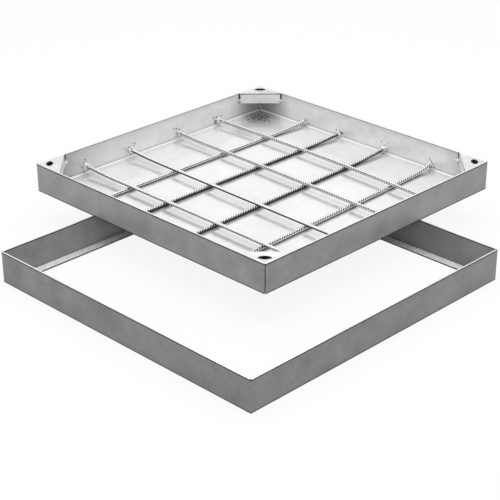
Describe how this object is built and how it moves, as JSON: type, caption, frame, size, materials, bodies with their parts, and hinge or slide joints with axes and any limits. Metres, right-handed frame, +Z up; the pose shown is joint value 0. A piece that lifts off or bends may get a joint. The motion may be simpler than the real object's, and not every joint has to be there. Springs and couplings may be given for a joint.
{
  "type": "recessed paving cover",
  "caption": "Recessed paving cover of galvanised steel: a square frame of bent angles, and its folded tray with crossed ribbed rods and slotted key holes, lifted out and laid on the rim.",
  "frame": {"origin": "middle of the frame's clear opening, on the surface that the frame stands on", "axes": "+X from the frame's front corner to its right one, +Y from the front corner to the left one, +Z up; the picture looks along the diagonal between +X and +Y"},
  "size_m": [0.844, 0.8075, 0.1205],
  "materials": {
    "frame_steel": "hot-dip galvanised, dull",
    "tray_steel": "hot-dip galvanised, bright",
    "rod_steel": "hot-dip galvanised over ribbed bar"
  },
  "bodies": {
    "root": {"frame_angle_front_right": "frame_steel", "frame_angle_back_right": "frame_steel", "frame_angle_back_left": "frame_steel", "frame_angle_front_left": "frame_steel", "frame_corner_weld_front": "frame_steel", "frame_corner_weld_right": "frame_steel", "frame_corner_weld_back": "frame_steel", "frame_corner_weld_left": "frame_steel", "tray_pan": "tray_steel", "tray_corner_weld_front": "tray_steel", "tray_corner_weld_right": "tray_steel", "tray_corner_weld_back": "tray_steel", "tray_corner_weld_left": "tray_steel", "corner_gusset_front": "tray_steel", "corner_gusset_right": "tray_steel", "corner_gusset_back": "tray_steel", "corner_gusset_left": "tray_steel", "gusset_tacks": "tray_steel", "lower_rod_1": "rod_steel", "lower_rod_2": "rod_steel", "lower_rod_3": "rod_steel", "lower_rod_4": "rod_steel", "lower_rod_welds": "rod_steel", "upper_rod_1": "rod_steel", "upper_rod_2": "rod_steel", "upper_rod_3": "rod_steel", "upper_rod_4": "rod_steel", "upper_rod_welds": "rod_steel"}
  },
  "joints": []
}
